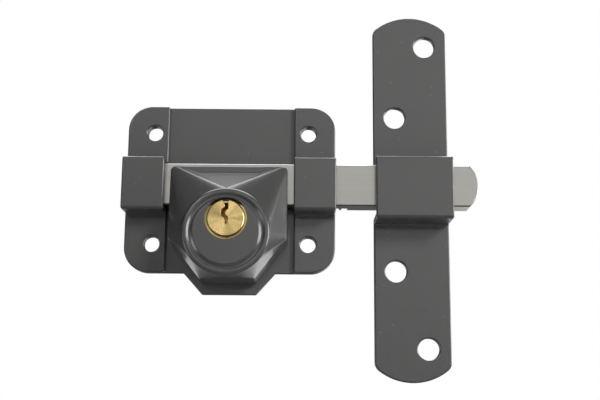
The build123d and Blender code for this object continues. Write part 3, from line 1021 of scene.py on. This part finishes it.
def side_columns(shape, corner, first, last):
    """Columns along a side with a ledge, or whose crest rises in an arc."""
    outward = (first.foot - first.crest).normalized()
    columns = []
    for share in side_shares(shape, corner):
        level = first.level + corner.rise * (1 - (2 * share - 1) ** 2)
        foot = first.foot.lerp(last.foot, share)
        crest = foot - outward * shape.draft
        columns.append(Column(
            foot, crest, crest - outward * corner.ledge, level, first.lean + 2 * corner.fan * share,
        ))
    return columns


def housing_columns(shape, half, top, low):
    """All columns round the housing.

    Every column leans to one point of the round boss. The two ends of a straight side lean to
    the same point, which makes a flat facet; a rounded corner makes a curved one."""
    corners = housing_corners(shape, half, top, low)
    count = len(corners)
    rounds = []
    for index, corner in enumerate(corners):
        rounds.append(corner_columns(shape, corners[index - 1], corner, corners[(index + 1) % count]))
    columns = []
    for index, corner in enumerate(corners):
        columns += rounds[index]
        columns += side_columns(shape, corner, rounds[index][-1], rounds[(index + 1) % count][0])
    return columns


def bent_between(corner, first, second, setback, steps):
    """Points that round the corner between two neighbours, with less setback where they are near."""
    largest_share = 0.45
    start = corner + (first - corner).normalized() * min(setback, (first - corner).length * largest_share)
    end = corner + (second - corner).normalized() * min(setback, (second - corner).length * largest_share)
    points = []
    for step in range(steps + 1):
        share = step / steps
        points.append(curve_point(start, corner, end, share))
    return points


def face_profile(shape, front):
    """Radius and height pairs from the boss's foot over its rim, ridge and groove to the flat face."""
    rim = []
    steps = 8
    crease, crease_steps = mm(0.22), 3
    for step in range(steps + 1):
        angle = math.pi / 2 * step / steps
        radius = shape.ridge_outer + (shape.boss_radius - shape.ridge_outer) * math.cos(angle)
        rim.append(Vector((radius, shape.boss_step + (front - shape.boss_step) * math.sin(angle))))
    floor = front - shape.groove_depth
    turns = [
        Vector((shape.ridge_inner, front)), Vector((shape.groove_outer, floor)),
        Vector((shape.groove_inner, floor)), Vector((shape.face_radius, front)),
    ]
    ends = [rim[-1]] + turns + [Vector((shape.mouth, front))]
    profile = list(rim)
    for index, turn in enumerate(turns, start=1):
        profile += bent_between(turn, ends[index - 1], ends[index + 1], crease, crease_steps)
    return profile


def column_points(column, back, centre, profile, edge):
    """All points of one column, from the foot up the wall and over the facet to the face."""
    foot = Vector((column.foot.x, -back, column.foot.y))
    crest = Vector((column.crest.x, -column.level, column.crest.y))
    ledge = Vector((column.ledge.x, -column.level, column.ledge.y))
    outward = direction(column.lean)
    boss = [
        Vector((outward.x * radius, -height, centre + outward.y * radius)) for radius, height in profile
    ]
    least_ledge = mm(0.01)
    wall_steps, ledge_steps = 5, 2
    if (ledge - crest).length < least_ledge:
        bend = bent_between(crest, foot, boss[0], edge, wall_steps + ledge_steps + 1)
    else:
        bend = bent_between(crest, foot, ledge, edge, wall_steps)
        bend += bent_between(ledge, crest, boss[0], edge, ledge_steps)
    return [foot] + bend + boss


def lofted_mesh(name, columns):
    """Closed mesh over columns of points, with a flat cap at both ends."""
    form = bmesh.new()
    rows = [[form.verts.new(point) for point in column] for column in columns]
    for index, column in enumerate(rows):
        following = rows[(index + 1) % len(rows)]
        for step in range(len(column) - 1):
            form.faces.new((column[step], following[step], following[step + 1], column[step + 1]))
    form.faces.new([column[0] for column in reversed(rows)])
    form.faces.new([column[-1] for column in rows])
    bmesh.ops.remove_doubles(form, verts=form.verts, dist=LOFT_WELD_DISTANCE)
    bmesh.ops.recalc_face_normals(form, faces=form.faces)
    return mesh_of(form, name)


def cutter_block(name, low, high):
    form = bmesh.new()
    bmesh.ops.create_cube(form, size=1.0)
    middle = (Vector(low) + Vector(high)) / 2
    size = Vector(high) - Vector(low)
    place = Matrix.Translation(middle) @ Matrix.Diagonal((*size, 1.0))
    bmesh.ops.transform(form, matrix=place, verts=form.verts)
    return put_in_scene(name, mesh_of(form, name))


def cutter_rod(name, centre, radius, depths):
    """Round cutter along the line to the front, between two depths in front of the gate."""
    form = bmesh.new()
    length = depths[1] - depths[0]
    bmesh.ops.create_cone(
        form, cap_ends=True, segments=BORE_SIDES, radius1=radius, radius2=radius, depth=length,
    )
    middle = Vector((centre[0], -(depths[0] + depths[1]) / 2, centre[1]))
    turn = Matrix.Rotation(math.pi / 2, 4, "X")
    bmesh.ops.transform(form, matrix=Matrix.Translation(middle) @ turn, verts=form.verts)
    return put_in_scene(name, mesh_of(form, name))


def cut_with(piece, cutters):
    for cutter in cutters:
        boolean = piece.modifiers.new(cutter.name, "BOOLEAN")
        boolean.operation = "DIFFERENCE"
        boolean.solver = "EXACT"
        boolean.object = cutter
        cutter.hide_render = True


def remove_objects(objects):
    for item in objects:
        mesh = item.data
        bpy.data.objects.remove(item)
        bpy.data.meshes.remove(mesh)


def housing_cutters(shape, half, front):
    """Solids that hollow the housing: bolt channel, cylinder bore, pinion pocket and plug mouth."""
    plug = box_centre("cylinder_plug")
    plug_place = (plug.x, plug.z)
    bolt_low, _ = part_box("bolt_bar")
    body_low, body_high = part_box("cylinder_body")
    body_place = (0.0, (body_low.z + body_high.z) / 2)
    running_gap = mm(0.05)
    bore_radius = (body_high.x - body_low.x) / 2 + running_gap
    return [
        cutter_block(
            "bolt_channel", (-half - OVERLAP, bolt_low.y - shape.roof_gap, bolt_low.z - shape.wall_gap),
            (half + OVERLAP, OVERLAP, shape.top + OVERLAP),
        ),
        cutter_rod("body_bore", body_place, bore_radius, (-OVERLAP, -body_low.y)),
        cutter_rod("pinion_pocket", plug_place, shape.pinion_room, (-OVERLAP, -body_high.y)),
        cutter_rod("plug_mouth", plug_place, shape.mouth, (-body_low.y - OVERLAP, front + OVERLAP)),
    ]


class LOCK_OT_housing(bpy.types.Operator):
    """Make the cast housing that leans from a straight-sided outline to a round boss"""

    bl_idname = "lock.housing"
    bl_label = "Housing"

    def execute(self, context):
        sizes = context.scene.lock_sizes
        shape = context.scene.housing_sizes
        low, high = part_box("lock_housing")
        half, back, front = high.x, -high.y, -low.y
        profile = face_profile(shape, front)
        columns = []
        for column in housing_columns(shape, half, shape.top, low.z):
            columns.append(column_points(column, back, shape.boss_level, profile, sizes.cast_edge))
        piece = put_in_scene("cast_housing", lofted_mesh("cast_housing", columns))
        cutters = housing_cutters(shape, half, front)
        cut_with(piece, cutters)
        round_edges(piece, sizes.bore_edge, segments=2, least_angle=40.0)
        plain_mesh(piece, cast_paint())
        remove_objects(cutters)
        hand_over(piece, "case", "painted_casting", "lock_housing")
        return {"FINISHED"}


class LOCK_OT_cylinder(bpy.types.Operator):
    """Make the pin cylinder: body, plug, clip, chamber cover and its screw"""

    bl_idname = "lock.cylinder"
    bl_label = "Pin cylinder"

    def execute(self, context):
        edge = context.scene.lock_sizes.fine_edge
        finished_copy("cylinder_plug", "keyway_plug", edge, "plug", "plug_brass", plug_brass())
        finished_copy("cylinder_body", "plug_body", edge, "case", "brass", body_brass())
        finished_copy("plug_circlip", "plug_clip", edge, "plug", "plated_steel", small_plating())
        finished_copy("chamber_cover", "pin_chamber_cover", edge, "case", "brass", body_brass())
        finished_copy(
            "cylinder_lock_screw", "slotted_lock_screw", edge, "case", "plated_steel", small_plating()
        )
        return {"FINISHED"}


CHAMBERS = 4
HOUSING_SCREWS = 4

PinRow = namedtuple("PinRow", "kind body tip_radius tip_height edge")
PIN_ROWS = (
    PinRow("key_pin", "plug", tip_radius=mm(0.4), tip_height=mm(0.8), edge=mm(0.3)),
    PinRow("driver_pin", "case", tip_radius=mm(1.1), tip_height=mm(0.06), edge=mm(0.05)),
)


def numbered(kind, count):
    return [f"{kind}_{number}" for number in range(1, count + 1)]


def row_facts(kind):
    """Names of the nodes in a row, the first one's box and centre, and the pitch towards the front."""
    names = numbered(kind, CHAMBERS)
    low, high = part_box(names[0])
    next_low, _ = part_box(names[1])
    return names, low, high, box_centre(names[0]), low.y - next_low.y


class LOCK_OT_pins(bpy.types.Operator):
    """Make the rows of key pins and driver pins"""

    bl_idname = "lock.pins"
    bl_label = "Pins"

    def execute(self, context):
        tree = row_tree("Row of pins", pin_shape)
        for row in PIN_ROWS:
            names, low, high, centre, pitch = row_facts(row.kind)
            piece = put_in_scene(f"{row.kind}_row", blank_mesh(f"{row.kind}_row"))
            tree.put_on(piece, {
                "Start": (centre.x, centre.y, high.z), "Count": len(names), "Pitch": pitch,
                "Radius": (high.x - low.x) / 2, "Length": high.z - low.z,
                "Tip radius": row.tip_radius, "Tip height": row.tip_height, "Finish": body_brass(),
            })
            round_edges(piece, row.edge, segments=2)
            plain_mesh(piece, body_brass())
            hand_over(piece, row.body, "brass", *names)
        return {"FINISHED"}


class LOCK_OT_springs(bpy.types.Operator):
    """Make the row of coil springs under the driver pins"""

    bl_idname = "lock.springs"
    bl_label = "Springs"

    def execute(self, context):
        names, low, high, centre, pitch = row_facts("pin_spring")
        sizes = context.scene.lock_sizes
        wire = sizes.spring_wire
        turns = 4.0
        piece = put_in_scene("pin_spring_row", blank_mesh("pin_spring_row"))
        row_tree("Row of springs", spring_shape).put_on(piece, {
            "Start": (centre.x, centre.y, low.z + wire), "Count": len(names), "Pitch": pitch,
            "Coil radius": sizes.spring_radius, "Wire radius": wire,
            "Height": high.z - low.z - 2 * wire, "Turns": turns, "Finish": wire_steel(),
        })
        plain_mesh(piece, wire_steel())
        hand_over(piece, "case", "spring_steel", *names)
        return {"FINISHED"}


class LOCK_OT_screws(bpy.types.Operator):
    """Make the flush screws that hold the housing from behind"""

    bl_idname = "lock.screws"
    bl_label = "Housing screws"

    def execute(self, context):
        sizes = context.scene.lock_sizes
        names = numbered("housing_screw", HOUSING_SCREWS)
        places = []
        for name in names:
            centre = box_centre(name)
            places.append((centre.x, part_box(name)[1].y, centre.z))
        low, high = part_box(names[0])
        piece = put_in_scene("housing_screws", blank_mesh("housing_screws", places))
        shared_tree("Flush screws", screws_tree).put_on(piece, {
            "Head radius": (high.x - low.x) / 2, "Head height": sizes.screw_head,
            "Shank radius": sizes.screw_shank, "Length": high.y - low.y,
            "Slot width": sizes.slot_width, "Slot depth": sizes.slot_depth, "Finish": small_plating(),
        })
        round_edges(piece, sizes.fine_edge, segments=2)
        plain_mesh(piece, small_plating())
        hand_over(piece, "case", "plated_steel", *names)
        return {"FINISHED"}


# Stage


# Camera fitted to the outlines in the photograph: lens and sensor in millimetres, turn in degrees.
CAMERA_LENS = 48.367
CAMERA_SENSOR = 36.0
CAMERA_SHIFT = (-0.00803, 0.10333)
CAMERA_PLACE = (0.02762, -0.30773, -0.07778)
CAMERA_TURN = (99.1898, -0.3896, -0.3006)

# Lamps for matt light and shadows: place and size in metres, power in watts.
Lamp = namedtuple("Lamp", "name place size power")
LAMPS = (
    Lamp("key_lamp", (0.58, -0.6, 0.4), (0.22, 0.22), 7.5),
    Lamp("back_lamp", (0.3, 0.9, 0.3), (0.8, 0.8), 9.0),
    Lamp("low_lamp", (0.35, -0.3, -0.6), (0.7, 0.3), 1.2),
)
LAMP_TARGET = (0.02, -0.01, -0.005)

FLOOR_DROP = 0.1
FLOOR_HALF = 1.6
FLOOR_GREY = (0.86, 0.86, 0.86)
WHITE = (1.0, 1.0, 1.0, 1.0)


def photo_camera(scene):
    data = bpy.data.cameras.new("camera")
    data.lens = CAMERA_LENS
    data.sensor_width = CAMERA_SENSOR
    data.shift_x, data.shift_y = CAMERA_SHIFT
    camera = bpy.data.objects.new("camera", data)
    scene.collection.objects.link(camera)
    camera.location = CAMERA_PLACE
    camera.rotation_euler = [math.radians(angle) for angle in CAMERA_TURN]
    scene.camera = camera


def studio_lamp(scene, lamp):
    """Area lamp aimed at the lock and hidden from gloss, which mirrors the soft boxes alone."""
    data = bpy.data.lights.new(lamp.name, "AREA")
    data.shape = "RECTANGLE"
    data.size, data.size_y = lamp.size
    data.energy = lamp.power
    item = bpy.data.objects.new(lamp.name, data)
    scene.collection.objects.link(item)
    item.location = lamp.place
    item.visible_glossy = False
    item.rotation_euler = (Vector(LAMP_TARGET) - item.location).to_track_quat("-Z", "Y").to_euler()


# Soft boxes that only gloss mirrors: direction, full and outer half angle in degrees, strength.
SoftBox = namedtuple("SoftBox", "towards full outer strength")
SOFT_BOXES = (
    SoftBox((0.22, -0.91, 0.35), 15, 30, 0.9),
    SoftBox((-0.4, -0.78, 0.48), 7, 14, 4.0),
    SoftBox((0.0, 0.34, 0.94), 20, 32, 5.0),
    SoftBox((0.59, 0.74, -0.34), 16, 30, 2.3),
    SoftBox((-0.57, 0.8, -0.19), 10, 24, 1.2),
    SoftBox((0.8, 0.56, 0.2), 10, 24, 4.0),
    SoftBox((0.9, -0.38, 0.12), 12, 21, 9.0),
    SoftBox((-0.9, -0.4, -0.15), 6, 14, 4.0),
)
ROOM_LEVEL = 0.1
AMBIENT_LEVEL = 0.18


def soft_box_level(tree, towards, box):
    """Brightness of one soft box in the direction of a ray, with a soft rim."""
    aim_at = tuple(Vector(box.towards).normalized())
    cosine = vector_maths(tree, "DOT_PRODUCT", {0: towards, 1: aim_at}, "Value")
    outer = math.cos(math.radians(box.outer))
    full = math.cos(math.radians(box.full))
    return band(tree, cosine, outer, full, 0.0, box.strength)


def studio_world():
    """White room for the eye, a dim one for matt light, and soft boxes for what gloss mirrors."""
    world = bpy.data.worlds.new("studio")
    bpy.context.scene.world = world
    world.use_nodes = True
    tree = world.node_tree
    tree.nodes.clear()
    path = node(tree, "ShaderNodeLightPath")
    towards = node(tree, "ShaderNodeTexCoord").outputs["Generated"]
    level = ROOM_LEVEL
    for box in SOFT_BOXES:
        level = maths(tree, "ADD", level, soft_box_level(tree, towards, box))
    ambient = node(tree, "ShaderNodeBackground", {"Color": WHITE, "Strength": AMBIENT_LEVEL})
    seen = node(tree, "ShaderNodeBackground", {"Color": WHITE, "Strength": 1.0})
    mirrored = node(tree, "ShaderNodeBackground", {"Color": WHITE, "Strength": level})
    with_gloss = node(tree, "ShaderNodeMixShader", {
        0: path.outputs["Is Glossy Ray"], 1: ambient.outputs[0], 2: mirrored.outputs[0],
    })
    straight = maths(tree, "MAXIMUM", path.outputs["Is Camera Ray"], path.outputs["Is Transmission Ray"])
    whole = node(tree, "ShaderNodeMixShader", {
        0: straight, 1: with_gloss.outputs[0], 2: seen.outputs[0],
    })
    out = node(tree, "ShaderNodeOutputWorld")
    tree.links.new(whole.outputs[0], out.inputs["Surface"])


def floor_finish():
    """Pale matt floor that looks white to the camera."""
    material, tree, shader = new_material("pale_floor")
    fill(tree, shader, {"Base Color": rgba(FLOOR_GREY), "Roughness": 0.9})
    white = node(tree, "ShaderNodeEmission", {"Color": WHITE, "Strength": 1.0})
    seen = node(tree, "ShaderNodeLightPath").outputs["Is Camera Ray"]
    both = node(tree, "ShaderNodeMixShader", {0: seen, 1: shader.outputs[0], 2: white.outputs[0]})
    tree.links.new(both.outputs[0], tree.nodes["Material Output"].inputs["Surface"])
    return material


def pale_floor():
    level = cad_box[0][2] - FLOOR_DROP
    sides = ((-1, -1), (1, -1), (1, 1), (-1, 1))
    corners = [(x * FLOOR_HALF, y * FLOOR_HALF, level) for x, y in sides]
    floor = put_in_scene("floor", blank_mesh("floor", corners, [(0, 1, 2, 3)]))
    floor.data.materials.append(floor_finish())
    floor.visible_glossy = False


class LOCK_OT_stage(bpy.types.Operator):
    """Make the camera, the floor, the lamps and the white surroundings"""

    bl_idname = "lock.stage"
    bl_label = "Stage"

    def execute(self, context):
        scene = context.scene
        scene.view_settings.view_transform = "Standard"
        photo_camera(scene)
        studio_world()
        for lamp in LAMPS:
            studio_lamp(scene, lamp)
        pale_floor()
        return {"FINISHED"}


OPERATORS = (
    LOCK_OT_stage, LOCK_OT_base_plate, LOCK_OT_pressed_straps, LOCK_OT_pressed_keep, LOCK_OT_housing,
    LOCK_OT_bolt, LOCK_OT_cylinder, LOCK_OT_pins, LOCK_OT_springs, LOCK_OT_screws,
)


class LOCK_PT_panel(bpy.types.Panel):
    """Panel that lists the steps that make the lock"""

    bl_label = "Rim lock"
    bl_idname = "LOCK_PT_panel"
    bl_space_type = "VIEW_3D"
    bl_region_type = "UI"
    bl_category = "Rim lock"

    def draw(self, context):
        scene = context.scene
        for group in (scene.lock_sizes, scene.housing_sizes, scene.lock_colours):
            for name in group.bl_rna.properties.keys():
                if name not in ("rna_type", "name"):
                    self.layout.prop(group, name)
        for operator in OPERATORS:
            self.layout.operator(operator.bl_idname)


CLASSES = (LockSizes, HousingSizes, LockColours) + OPERATORS + (LOCK_PT_panel,)


def register():
    for item in CLASSES:
        bpy.utils.register_class(item)
    bpy.types.Scene.lock_sizes = bpy.props.PointerProperty(type=LockSizes)
    bpy.types.Scene.housing_sizes = bpy.props.PointerProperty(type=HousingSizes)
    bpy.types.Scene.lock_colours = bpy.props.PointerProperty(type=LockColours)


def unregister():
    del bpy.types.Scene.lock_colours
    del bpy.types.Scene.housing_sizes
    del bpy.types.Scene.lock_sizes
    for item in reversed(CLASSES):
        bpy.utils.unregister_class(item)


def main():
    register()
    for operator in OPERATORS:
        group, name = operator.bl_idname.split(".")
        getattr(getattr(bpy.ops, group), name)()


if __name__ == "__main__":
    main()
